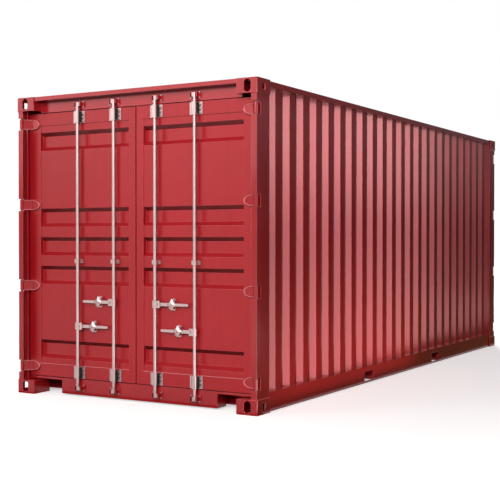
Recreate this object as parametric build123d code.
from build123d import *
import math
import os

# A twenty foot steel shipping container with a pair of doors at each end.
# X runs across the width, Y along the length, Z up. The front doors face -Y.
# A place at a corner is given by u, inwards from the side plane, and v, back from the end plane.

# Overall size, mm
length = 6058.0
width = 2438.0
height = 2591.0

# Corner castings, sized round the hole for a twist lock
casting_height = 118.0
casting_wall = 13.0
casting_edge = 5.0
lock_inset_side = 89.5
lock_inset_end = 102.5
lock_hole_length = 124.5
lock_hole_width = 63.5
casting_side_land = 66.75
casting_end_land = 37.25
end_hole_width = 62.0
end_hole_height = 98.0
side_hole_width = 54.0
side_hole_height = 88.0
hole_corner = 19.0

# Corner posts, bent plates with a front lip and a stiff inner section
post_inset = 8.0
post_setback = 6.0
post_plate = 8.0
lip_width = 50.0
web_setback = 78.0
jamb_gap = 12.0
jamb_step = 30.0
jamb_length = 26.0

# Door hinges
hinge_count = 4
low_hinge_margin = 85.0
high_hinge_margin = 92.0
pin_inset = 27.0
pin_setback = 27.0
pin_radius = 10.0
barrel_radius = 17.0
blade_height = 90.0
blade_thickness = 12.0
blade_gap = 7.0
blade_bend = 30.0
blade_reach = 117.0
blade_tip_length = 72.0
notch_setback = 66.0
lug_height = 24.0
lug_wall = 9.0
running_clearance = 0.05

# Door leaves
door_face = 100.0
door_thickness = 45.0
door_edge_inset = 60.0
door_stop_gap = 7.0
centre_gap = 14.0
door_gap = 6.0
outer_stile = 119.0
inner_stile = 69.0
door_rail = 108.0
panel_step = 7.0
panel_sheet = 3.0

# Pressed grooves of the door sheets: one low, one high and three in the middle
groove_depth = 32.0
groove_height = 160.0
groove_slope = 33.0
low_groove_margin = 239.0
high_groove_margin = 247.0
middle_groove_pitch = 251.0
middle_groove_drop = 12.5

# Lock rods, their guides, cams and keepers
inner_rod_inset = 205.0
rod_spacing = 388.0
rod_setback = 72.0
rod_radius = 14.0
rod_drop = 89.0
rod_rise = 64.0
rod_clearance = 0.3
cam_height = 34.0
cam_reach = 27.0
cam_thickness = 26.0
cam_nose = 8.0
keeper_thickness = 8.0
keeper_height = 40.0
keeper_reach = 40.0
keeper_gap = 7.0
guide_width = 120.0
guide_height = 100.0
guide_plate = 6.0
saddle_width = 44.0
saddle_height = 100.0
saddle_wall = 5.0
middle_guide_height = 34.0
middle_guide_width = 72.0

# Door handles and their catches
handle_spacing = 213.0
handle_tip_gap = 58.0
handle_height = 30.0
handle_tip_height = 20.0
handle_thickness = 12.0
handle_nose = 8.0
hub_wall = 7.0
hub_height = 58.0
hub_reach = 52.0
hub_corner = 10.0
catch_width = 72.0
catch_height = 96.0
catch_lobe = 40.0
catch_corner = 12.0
catch_plate = 6.0
catch_shelf_width = 36.0
catch_shelf_height = 14.0
catch_clearance = 5.0

# Header over the doors and its rain lip
header_face = 97.0
header_height = 126.0
header_lip_height = 30.0
header_lip_setback = 8.0
header_lip_drop = 1.0
roof_drop = 6.0

# Sill under the doors
sill_face = 97.0
sill_depth = 136.0
sill_half_width = 797.0
sill_strip = 19.0
sill_clearance = 9.0
ground_gap = 12.0
rail_ground_gap = 4.0

# Side rails
rail_inset = 13.0
rail_plate = 5.0
top_rail_height = 46.0
top_rail_width = 60.0
bottom_rail_rise = 12.0
bottom_rail_flange = 72.0
bottom_rail_foot = 45.0

# Corrugated side walls and roof
wall_sheet = 2.0
wall_inset = 35.0
wall_depth = 36.0
wall_pitch = 240.0
wall_outer_flat = 85.0
wall_slope = 53.0
wall_end_flat = 60.0
roof_sheet = 2.0
roof_depth = 20.0
roof_pitch = 240.0
roof_high_flat = 90.0
roof_slope = 40.0

# Floor and underframe
floor_thickness = 28.0
member_width = 45.0
member_plate = 5.0
member_pitch = 342.0
pocket_place = 890.0
pocket_width = 205.0
pocket_plate = 6.0
pocket_sill = 12.0

# Number of flats on the small pins, barrels, bores and blade tips
pin_sides = 8
barrel_sides = 12
bore_sides = 8
tip_sides = 10

# Places that follow from the sizes
half_length = length / 2
half_width = width / 2
casting_width = lock_inset_side + lock_hole_width / 2 + casting_side_land
casting_length = lock_inset_end + lock_hole_length / 2 + casting_end_land
top_casting_base = height - casting_height
rail_top = height - roof_drop
header_bottom = rail_top - header_height
sill_top = casting_height + sill_clearance + sill_strip
bottom_rail_top = sill_top + bottom_rail_rise
floor_base = sill_top - floor_thickness
floor_start = sill_face + sill_depth
door_bottom = sill_top + door_gap
door_top = header_bottom - door_gap
door_edge = half_width - door_edge_inset
jamb_inset = door_edge_inset - jamb_gap
jamb_setback = door_face + door_thickness + door_stop_gap
post_back = max(casting_length, jamb_setback + jamb_length)
panel_face = door_face + panel_step
notch_height = blade_height + 2 * blade_gap
low_hinge = door_bottom + low_hinge_margin
hinge_pitch = (door_top - high_hinge_margin - low_hinge) / (hinge_count - 1)
hinge_levels = [low_hinge + hinge_pitch * k for k in range(hinge_count)]
low_groove = door_bottom + low_groove_margin
high_groove = door_top - high_groove_margin
middle_groove = (door_bottom + door_top) / 2 - middle_groove_drop
groove_levels = [low_groove, middle_groove - middle_groove_pitch, middle_groove,
                 middle_groove + middle_groove_pitch, high_groove]
middle_guide_level = middle_groove - middle_groove_pitch / 2
handle_middle = (low_groove + middle_groove - middle_groove_pitch) / 2
rod_bottom = sill_top - rod_drop
rod_top = header_bottom + rod_rise
inner_rod = centre_gap / 2 + inner_rod_inset
rod_places = {"inner": inner_rod, "outer": inner_rod + rod_spacing}
handle_levels = {"inner": handle_middle + handle_spacing / 2, "outer": handle_middle - handle_spacing / 2}
handle_turns = {"inner": 1, "outer": -1}
handle_reach = rod_spacing - handle_tip_gap


# Prisms along the three axes, and blocks and bars at the front right corner

def corner_xy(u, v):
    return half_width - u, v - half_length


def prism_up(outline, low, high):
    points = [(*corner_xy(u, v), low) for u, v in outline]
    return extrude(make_face(Polyline(*points, close=True)), high - low, dir=(0, 0, 1))


def prism_across(outline, start, end):
    points = [(start, v - half_length, z) for v, z in outline]
    return extrude(make_face(Polyline(*points, close=True)), end - start, dir=(1, 0, 0))


def prism_along(outline, start, end):
    points = [(half_width - u, start, z) for u, z in outline]
    return extrude(make_face(Polyline(*points, close=True)), end - start, dir=(0, 1, 0))


def block(x_range, y_range, z_range):
    spans = [(min(r), max(r)) for r in (x_range, y_range, z_range)]
    middle = [(low + high) / 2 for low, high in spans]
    return Pos(*middle) * Box(*[high - low for low, high in spans])


def corner_block(u_range, v_range, z_range):
    x_range = [half_width - u for u in u_range]
    y_range = [v - half_length for v in v_range]
    return block(x_range, y_range, z_range)


def around(middle, size):
    return middle - size / 2, middle + size / 2


def upright(x, y, low, high, radius):
    return Pos(x, y, (low + high) / 2) * Cylinder(radius, high - low)


def upright_prism(x, y, low, high, outer_radius, sides):
    return Pos(x, y, low) * extrude(RegularPolygon(outer_radius, sides), high - low)


def upright_bore(x, y, low, high, inner_radius):
    outline = RegularPolygon(inner_radius, bore_sides, major_radius=False)
    return Pos(x, y, low) * extrude(outline, high - low)


def to_left(shape):
    return mirror(shape, about=Plane.YZ)


def to_rear(shape):
    return Rot(0, 0, 180) * shape


def save(node, *solids):
    shape = solids[0] if len(solids) == 1 else Compound(children=list(solids))
    export_step(shape, f"parts/{node}.step")


# Corner castings, hollow boxes with a hole in each of their three outer faces

def long_hole(long_side, short_side, depth):
    return extrude(SlotOverall(long_side, short_side), depth, both=True)


def flat_sided_hole(tall, wide, depth):
    outline = Rectangle(wide, tall)
    return extrude(chamfer(outline.vertices(), hole_corner), depth, both=True)


def bottom_casting():
    body = corner_block((0, casting_width), (0, casting_length), (0, casting_height))
    body = chamfer(body.edges().filter_by(Axis.Z).sort_by(Axis.X)[-2:].sort_by(Axis.Y)[0], casting_edge)
    body -= corner_block((casting_wall, casting_width - casting_wall),
                         (casting_wall, casting_length - casting_wall),
                         (casting_wall, casting_height - casting_wall))
    lock_x, lock_y = corner_xy(lock_inset_side, lock_inset_end)
    middle = casting_height / 2
    reach = 2 * casting_wall
    body -= Pos(lock_x, lock_y, 0) * Rot(0, 0, 90) * long_hole(lock_hole_length, lock_hole_width, reach)
    end_hole = Rot(90, 0, 0) * flat_sided_hole(end_hole_height, end_hole_width, reach)
    body -= Pos(lock_x, -half_length, middle) * end_hole
    side_hole = Rot(90, 0, 90) * flat_sided_hole(side_hole_height, side_hole_width, reach)
    body -= Pos(half_width, lock_y, middle) * side_hole
    return body


def top_casting():
    return Pos(0, 0, height) * mirror(bottom_casting(), about=Plane.XY)


# Corner posts, with notches and lugs for the hinges

def corner_post():
    plate_inner = post_inset + post_plate
    lip_back = post_setback + post_plate
    lip_inner = post_inset + lip_width
    jamb_inner = jamb_inset + jamb_step
    post = prism_up([(post_inset, post_setback), (lip_inner, post_setback), (lip_inner, lip_back),
                     (plate_inner, lip_back), (plate_inner, web_setback), (jamb_inset, web_setback),
                     (jamb_inset, jamb_setback), (jamb_inner, jamb_setback), (jamb_inner, post_back),
                     (post_inset, post_back)], casting_height, top_casting_base)
    lug_inner = pin_inset + pin_radius + lug_wall
    lug_back = pin_setback + pin_radius + lug_wall
    for level in hinge_levels:
        low, high = around(level, notch_height)
        post -= corner_block((0, lip_inner + post_plate), (0, notch_setback), (low, high))
        for start in (low - lug_height, high):
            post += corner_block((plate_inner, lug_inner), (lip_back, lug_back), (start, start + lug_height))
    return post


def hinge_pin(level):
    low, high = around(level, notch_height)
    return upright_prism(*corner_xy(pin_inset, pin_setback), low, high, pin_radius, pin_sides)


# Door leaf, a frame of flat bars round a sheet with pressed grooves

def door_leaf():
    depth = (door_face - half_length, door_face + door_thickness - half_length)
    centre_edge = centre_gap / 2
    panel_start = centre_edge + inner_stile
    panel_end = door_edge - outer_stile
    outer_bar = block((panel_end, door_edge), depth, (door_bottom, door_top))
    inner_bar = block((centre_edge, panel_start), depth, (door_bottom, door_top))
    low_rail = block((panel_start, panel_end), depth, (door_bottom, door_bottom + door_rail))
    high_rail = block((panel_start, panel_end), depth, (door_top - door_rail, door_top))
    deep = panel_face + groove_depth
    line = [(panel_face, door_bottom + door_rail)]
    for level in groove_levels:
        low, high = around(level, groove_height)
        line += [(panel_face, low), (deep, low + groove_slope), (deep, high - groove_slope), (panel_face, high)]
    line += [(panel_face, door_top - door_rail)]
    back_line = [(v + panel_sheet, z) for v, z in reversed(line)]
    sheet = prism_across(line + back_line, panel_start, panel_end)
    return outer_bar + inner_bar + low_rail + high_rail + sheet


# Hinge blade, a barrel on the pin and a strap that is cranked back on to the door

def hinge_blade(level):
    low, high = around(level, blade_height)
    bend = Vector(door_edge_inset + blade_bend, door_face - blade_thickness / 2)
    pin = Vector(pin_inset, pin_setback)
    run = (bend - pin).normalized()
    side = Vector(run.Y, -run.X) * (blade_thickness / 2)

    def on_offset_line(start, v):
        along = (v - start.Y) / run.Y
        return start.X + along * run.X, v

    front = pin + side
    back = pin - side
    tip_start = door_edge_inset + blade_reach - blade_tip_length
    outer_side = door_face - blade_thickness
    strap = prism_up([(front.X, front.Y), on_offset_line(front, outer_side), (tip_start, outer_side),
                      (tip_start, door_face), on_offset_line(back, door_face), (back.X, back.Y)], low, high)
    tip_x, tip_y = corner_xy(tip_start, door_face)
    turns = [math.pi * k / tip_sides for k in range(tip_sides + 1)]
    points = [(tip_x - blade_tip_length * math.sin(turn), tip_y, level + blade_height / 2 * math.cos(turn))
              for turn in turns]
    strap += extrude(make_face(Polyline(*points, close=True)), blade_thickness, dir=(0, -1, 0))
    pin_x, pin_y = corner_xy(pin_inset, pin_setback)
    barrel = upright_prism(pin_x, pin_y, low, high, barrel_radius, barrel_sides)
    return strap + barrel - upright_bore(pin_x, pin_y, low, high, pin_radius + running_clearance)


# Lock rods with a cam at each end, the guides on the door and the keepers on the frame

def rod_axis(which):
    return rod_places[which], rod_setback - half_length


def towards(edges, turn):
    ordered = edges.sort_by(Axis.X)
    return ordered[-2:] if turn > 0 else ordered[:2]


def lock_rod(which):
    x, y = rod_axis(which)
    turn = handle_turns[which]
    rod = upright(x, y, rod_bottom, rod_top, rod_radius)
    for low in (rod_bottom, rod_top - cam_height):
        cam = block((x, x + turn * cam_reach), around(y, cam_thickness), (low, low + cam_height))
        rod += chamfer(towards(cam.edges().filter_by(Axis.Z), turn), cam_nose)
    return rod


def rod_keepers(which):
    x, y = rod_axis(which)
    turn = handle_turns[which]
    prongs = []
    for face, middle in ((sill_face, rod_bottom + cam_height / 2), (header_face, rod_top - cam_height / 2)):
        depth = (face - keeper_reach - half_length, face - half_length)
        for side, reach in ((turn, cam_reach + keeper_gap), (-turn, rod_radius + keeper_gap)):
            span = (x + side * reach, x + side * (reach + keeper_thickness))
            prongs.append(block(span, depth, around(middle, keeper_height)))
    return prongs


def rod_guide(which, middle, tall, wide, face):
    x, y = rod_axis(which)
    back = face - half_length
    plate = block(around(x, wide), (back - guide_plate, back), around(middle, tall))
    saddle = block(around(x, saddle_width), (y - rod_radius - saddle_wall, back - guide_plate),
                   around(middle, min(saddle_height, tall)))
    saddle = chamfer(saddle.edges().filter_by(Axis.Z).group_by(Axis.Y)[0], saddle_wall)
    return plate + saddle - upright_bore(x, y, *around(middle, tall), rod_radius + rod_clearance)


def rod_guides(which):
    low = door_bottom + door_rail / 2
    high = door_top - door_rail / 2
    return [rod_guide(which, low, guide_height, guide_width, door_face),
            rod_guide(which, high, guide_height, guide_width, door_face),
            rod_guide(which, middle_guide_level, middle_guide_height, middle_guide_width, panel_face)]


# Handles clamped to the rods, and the catches that they rest over

def handle(which):
    x, y = rod_axis(which)
    level = handle_levels[which]
    turn = handle_turns[which]
    tip = x + turn * handle_reach
    outline = [(x, -handle_height / 2), (tip, -handle_tip_height / 2), (tip, handle_tip_height / 2),
               (x, handle_height / 2)]
    points = [(px, y - handle_thickness / 2, level + rise) for px, rise in outline]
    bar = extrude(make_face(Polyline(*points, close=True)), handle_thickness, dir=(0, 1, 0))
    bar = chamfer(towards(bar.edges().filter_by(Axis.Y), turn), handle_nose)
    half_hub = rod_radius + hub_wall
    hub = block((x - turn * half_hub, x + turn * hub_reach), around(y, 2 * half_hub), around(level, hub_height))
    hub = chamfer(hub.edges().filter_by(Axis.Z), hub_corner)
    bore = upright_bore(x, y, *around(level, hub_height), rod_radius + running_clearance)
    return bar + hub - bore


def handle_catch(which):
    x, y = rod_axis(which)
    level = handle_levels[which]
    middle = x + handle_turns[which] * handle_reach / 2
    back = panel_face - half_length
    depth = (back - catch_plate, back)
    tall = block(around(middle, catch_lobe), depth, around(level, catch_height))
    wide = block(around(middle, catch_width), depth, around(level, catch_lobe))
    plate = chamfer(tall.edges().filter_by(Axis.Y), catch_corner)
    plate += chamfer(wide.edges().filter_by(Axis.Y), catch_corner)
    top = level - handle_height / 2 - catch_clearance
    shelf = block(around(middle, catch_shelf_width), (y - handle_thickness, back - catch_plate),
                  (top - catch_shelf_height, top))
    return plate + shelf


# Header, a box rail with a rain lip on top

def header():
    end = half_width - casting_width
    low = header_bottom
    high = rail_top - header_lip_height
    return prism_across([(header_face, low), (post_back, low), (post_back, high), (header_face, high)], -end, end)


def header_lip():
    end = half_width - casting_width
    low = rail_top - header_lip_height
    high = height - header_lip_drop
    return prism_across([(header_lip_setback, low), (header_lip_setback, high), (post_back, high),
                         (post_back, low)], -end, end)


# Sill, a deep box in the middle with a strip that runs on to the posts

def sill():
    back = sill_face + sill_depth
    strip_end = half_width - jamb_inset - jamb_step
    strip_base = sill_top - sill_strip
    deep = prism_across([(sill_face, ground_gap), (back, ground_gap), (back, sill_top), (sill_face, sill_top)],
                        -sill_half_width, sill_half_width)
    strip = prism_across([(sill_face, strip_base), (back, strip_base), (back, sill_top), (sill_face, sill_top)],
                         -strip_end, strip_end)
    return deep + strip


# Side rails between the castings

def top_rail():
    low = rail_top - top_rail_height
    inner = rail_inset + top_rail_width
    end = half_length - post_back
    t = rail_plate
    tube = prism_along([(rail_inset, low), (inner, low), (inner, rail_top), (rail_inset, rail_top)], -end, end)
    hollow = prism_along([(rail_inset + t, low + t), (inner - t, low + t), (inner - t, rail_top - t),
                          (rail_inset + t, rail_top - t)], -end, end)
    return tube - hollow


def bottom_rail():
    end = half_length - post_back
    t = rail_plate
    web = rail_inset + t
    top = bottom_rail_top
    foot = rail_inset + bottom_rail_foot
    flange = rail_inset + bottom_rail_flange
    low = rail_ground_gap
    rail = prism_along([(rail_inset, low), (foot, low), (foot, low + t), (web, low + t), (web, top - t),
                        (flange, top - t), (flange, top), (rail_inset, top)], -end, end)
    for place in (-pocket_place, pocket_place):
        rail -= block((half_width - 2 * web, half_width), around(place, pocket_width),
                      (ground_gap + pocket_sill, floor_base - pocket_plate))
    return rail


# Corrugated sheets, with as many waves as the run holds

def wave_line(start, end, pitch, low, high, high_flat, slope):
    waves = int((end - start - 2 * wall_end_flat) // pitch)
    line = [(start, low)]
    for k in range(waves):
        centre = (start + end) / 2 + (k - (waves - 1) / 2) * pitch
        half = high_flat / 2
        line += [(centre - half - slope, low), (centre - half, high), (centre + half, high),
                 (centre + half + slope, low)]
    return line + [(end, low)]


def side_wall():
    inner = wall_inset + wall_depth
    line = wave_line(post_back, length - post_back, wall_pitch, inner, wall_inset, wall_outer_flat, wall_slope)
    outline = [(u, v) for v, u in line] + [(u + wall_sheet, v) for v, u in reversed(line)]
    return prism_up(outline, bottom_rail_top, rail_top - top_rail_height)


def roof():
    low = rail_top - roof_depth
    side = half_width - rail_inset - top_rail_width
    line = wave_line(post_back, length - post_back, roof_pitch, low, rail_top, roof_high_flat, roof_slope)
    outline = line + [(v, z - roof_sheet) for v, z in reversed(line)]
    return prism_across(outline, -side, side)


# Floor, its cross members and the fork pockets

def floor():
    side = half_width - rail_inset - bottom_rail_flange
    end = half_length - floor_start
    return block((-side, side), (-end, end), (floor_base, sill_top))


def cross_member(place):
    side = half_width - rail_inset - rail_plate
    low = ground_gap + rail_plate
    high = floor_base
    t = member_plate
    near = place + half_length
    far = near + member_width
    return prism_across([(near, low), (far, low), (far, low + t), (near + t, low + t), (near + t, high - t),
                         (far, high - t), (far, high), (near, high)], -side, side)


def cross_members():
    side = half_width - rail_inset - rail_plate
    low = ground_gap + rail_plate
    pockets = (-pocket_place, pocket_place)
    keep_off = pocket_width / 2 + member_width + pocket_plate
    steps = int((half_length - floor_start - member_width) // member_pitch)
    places = [k * member_pitch for k in range(-steps, steps + 1)]
    members = []
    for place in places:
        if all(abs(place + member_width / 2 - pocket) > keep_off for pocket in pockets):
            members.append(cross_member(place))
    for pocket in pockets:
        for near in (pocket - pocket_width / 2 - pocket_plate, pocket + pocket_width / 2):
            members.append(block((-side, side), (near, near + pocket_plate), (low, floor_base)))
    return members


def pocket_roofs():
    side = half_width - rail_inset - rail_plate
    levels = (floor_base - pocket_plate, floor_base)
    return [block((-side, side), around(place, pocket_width), levels) for place in (-pocket_place, pocket_place)]


os.makedirs("parts", exist_ok=True)

# Fixed frame
for name, shape in (("bottom_casting", bottom_casting()), ("top_casting", top_casting()), ("post", corner_post())):
    save(f"front_right_{name}", shape)
    save(f"front_left_{name}", to_left(shape))
    save(f"rear_left_{name}", to_rear(shape))
    save(f"rear_right_{name}", to_rear(to_left(shape)))

right_pins = [hinge_pin(level) for level in hinge_levels]
front_pins = right_pins + [to_left(pin) for pin in right_pins]
save("hinge_pins", *front_pins, *[to_rear(pin) for pin in front_pins])

for name, shape in (("header", header()), ("header_lip", header_lip()), ("sill", sill())):
    save(f"front_{name}", shape)
    save(f"rear_{name}", to_rear(shape))

for name, shape in (("top_rail", top_rail()), ("bottom_rail", bottom_rail()), ("side_wall", side_wall())):
    save(f"right_{name}", shape)
    save(f"left_{name}", to_left(shape))

save("roof", roof())
save("floor", floor())
save("cross_members", *cross_members())
save("fork_pocket_roofs", *pocket_roofs())

right_prongs = rod_keepers("inner") + rod_keepers("outer")
front_prongs = right_prongs + [to_left(prong) for prong in right_prongs]
save("cam_keepers", *front_prongs, *[to_rear(prong) for prong in front_prongs])

# Doors and what rides on them
leaf = door_leaf()
save("front_right_door", leaf)
save("front_left_door", to_left(leaf))
save("rear_left_door", to_rear(leaf))
save("rear_right_door", to_rear(to_left(leaf)))

right_gear = {
    "hinges": [hinge_blade(level) for level in hinge_levels],
    "rod_guides": rod_guides("inner") + rod_guides("outer"),
    "handle_catches": [handle_catch("inner"), handle_catch("outer")],
}
for name, solids in right_gear.items():
    left_solids = [to_left(solid) for solid in solids]
    save(f"front_right_{name}", *solids)
    save(f"front_left_{name}", *left_solids)
    save(f"rear_{name}", *[to_rear(solid) for solid in solids + left_solids])

for name, make in (("rod", lock_rod), ("handle", handle)):
    rear_solids = []
    for which in rod_places:
        solid = make(which)
        save(f"front_right_{which}_{name}", solid)
        save(f"front_left_{which}_{name}", to_left(solid))
        rear_solids += [to_rear(solid), to_rear(to_left(solid))]
    save(f"rear_{name}s", *rear_solids)
